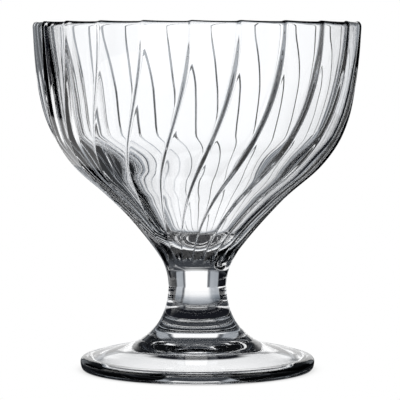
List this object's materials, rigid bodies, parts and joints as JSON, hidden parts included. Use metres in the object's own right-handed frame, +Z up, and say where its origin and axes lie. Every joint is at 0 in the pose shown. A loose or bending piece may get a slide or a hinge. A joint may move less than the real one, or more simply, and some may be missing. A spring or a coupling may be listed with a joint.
{
  "type": "parfait glass",
  "caption": "Clear pressed-glass parfait coupe: a wide bowl with swirled flutes on a short waisted stem and a round foot.",
  "frame": {"origin": "centre of the standing ring, on the table under the glass", "axes": "+Z up along the glass's axis, towards the rim; the picture looks along +Y, with +X to its right"},
  "size_m": [0.0994, 0.1, 0.106],
  "materials": {
    "clear_glass": "clear, fire polished"
  },
  "bodies": {
    "root": {"bowl": "clear_glass", "stem": "clear_glass", "foot": "clear_glass"}
  },
  "joints": []
}
